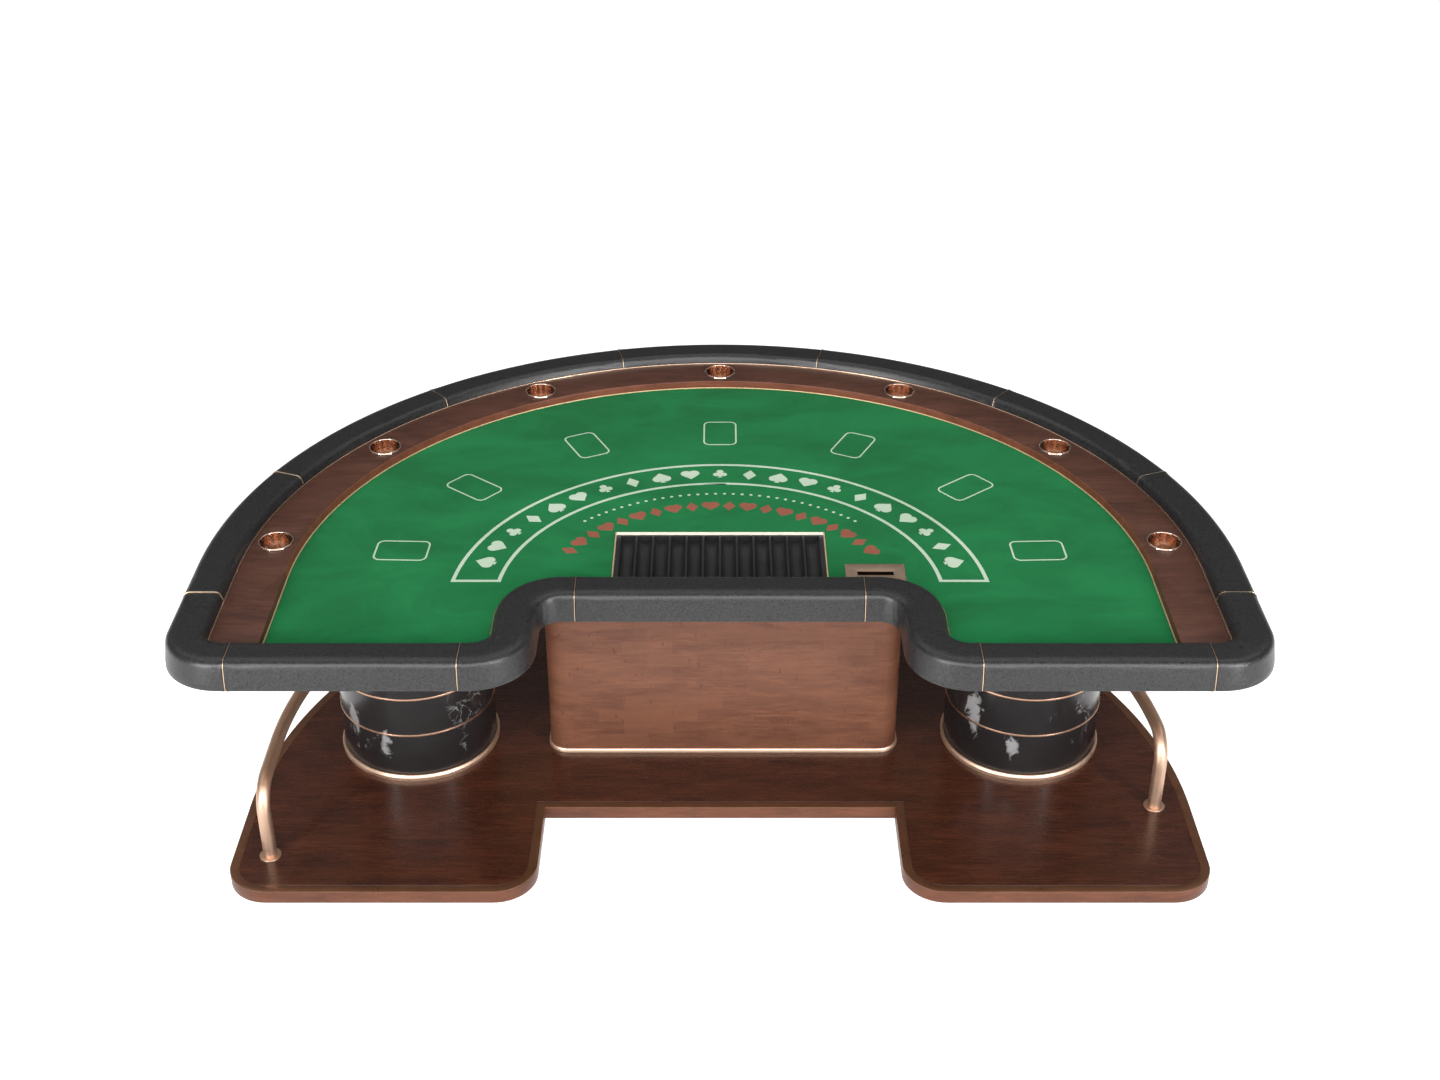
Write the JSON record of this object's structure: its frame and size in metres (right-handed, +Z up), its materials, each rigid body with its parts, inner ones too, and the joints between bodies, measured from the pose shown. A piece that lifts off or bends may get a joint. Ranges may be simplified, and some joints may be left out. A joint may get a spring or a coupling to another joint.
{
  "type": "blackjack table",
  "caption": "Half-round blackjack table with padded armrest, wooden race track and cup holders, green felt, chip tray, drop slot, columns, cabinet and a low platform with foot rail.",
  "frame": {"origin": "middle of the footprint on the floor, under the middle of the table top", "axes": "+Z up, +Y from the dealer towards the players, +X to the dealer's right"},
  "size_m": [2.69, 1.805, 0.8195],
  "materials": {
    "walnut_dark": "dark glossy lacquered walnut veneer",
    "walnut_mid": "dark satin walnut",
    "walnut_light": "satin walnut veneer",
    "plywood": "bare birch plywood",
    "bronze": "dark brushed bronze",
    "rose_gold": "polished rose gold plating",
    "copper": "polished copper",
    "leatherette": "matte black leatherette over foam",
    "baize": "green wool baize",
    "marble_laminate": "polished black marble-pattern laminate",
    "black_plastic": "matte black plastic",
    "black_steel": "black powder-coated steel",
    "zinc_steel": "zinc-plated sheet steel"
  },
  "bodies": {
    "table": {"armrest_core": "plywood", "armrest_pad_arc_l": "leatherette", "armrest_pad_arc_r": "leatherette", "armrest_pad_back": "leatherette", "armrest_pad_corner_l": "leatherette", "armrest_pad_corner_r": "leatherette", "armrest_pad_curve_l": "leatherette", "armrest_pad_curve_r": "leatherette", "armrest_pad_dealer": "leatherette", "armrest_pad_shoulder_l": "leatherette", "armrest_pad_shoulder_r": "leatherette", "armrest_pad_side_l": "leatherette", "armrest_pad_side_r": "leatherette", "armrest_pad_wing_l": "leatherette", "armrest_pad_wing_r": "leatherette", "armrest_trim": "rose_gold", "cabinet_back": "walnut_light", "cabinet_shell": "walnut_light", "cabinet_trim": "rose_gold", "chip_tray_frame": "rose_gold", "column_base_ring_l": "rose_gold", "column_base_ring_r": "rose_gold", "column_post_l": "black_steel", "column_post_r": "black_steel", "column_ring_l1": "rose_gold", "column_ring_l2": "rose_gold", "column_ring_l3": "rose_gold", "column_ring_l4": "rose_gold", "column_ring_l5": "rose_gold", "column_ring_r1": "rose_gold", "column_ring_r2": "rose_gold", "column_ring_r3": "rose_gold", "column_ring_r4": "rose_gold", "column_ring_r5": "rose_gold", "column_shell_l": "marble_laminate", "column_shell_r": "marble_laminate", "cup_holder_arc_l": "copper", "cup_holder_arc_r": "copper", "cup_holder_back": "copper", "cup_holder_far_l": "copper", "cup_holder_far_r": "copper", "cup_holder_side_l": "copper", "cup_holder_side_r": "copper", "drop_box_hanger": "zinc_steel", "drop_slot_plate": "bronze", "felt_layout": "baize", "felt_trim": "rose_gold", "foot_rail": "rose_gold", "plinth_base": "plywood", "plinth_deck": "walnut_dark", "plinth_edging": "walnut_mid", "plinth_inlay": "bronze", "race_track": "walnut_mid", "rail_flange_l": "rose_gold", "rail_flange_r": "rose_gold", "table_deck": "plywood", "underframe": "plywood"},
    "chip_tray": {"chip_tray": "black_plastic"},
    "drop_box": {"drop_box": "black_steel"}
  },
  "joints": [
    {"name": "chip_tray_lift", "type": "slide", "parent": "table", "child": "chip_tray", "axis": [0, 0, 1], "range_m": [0, 0.07]},
    {"name": "drop_box_slide", "type": "slide", "parent": "table", "child": "drop_box", "axis": [0, -1, 0], "range_m": [0, 0.14]}
  ]
}
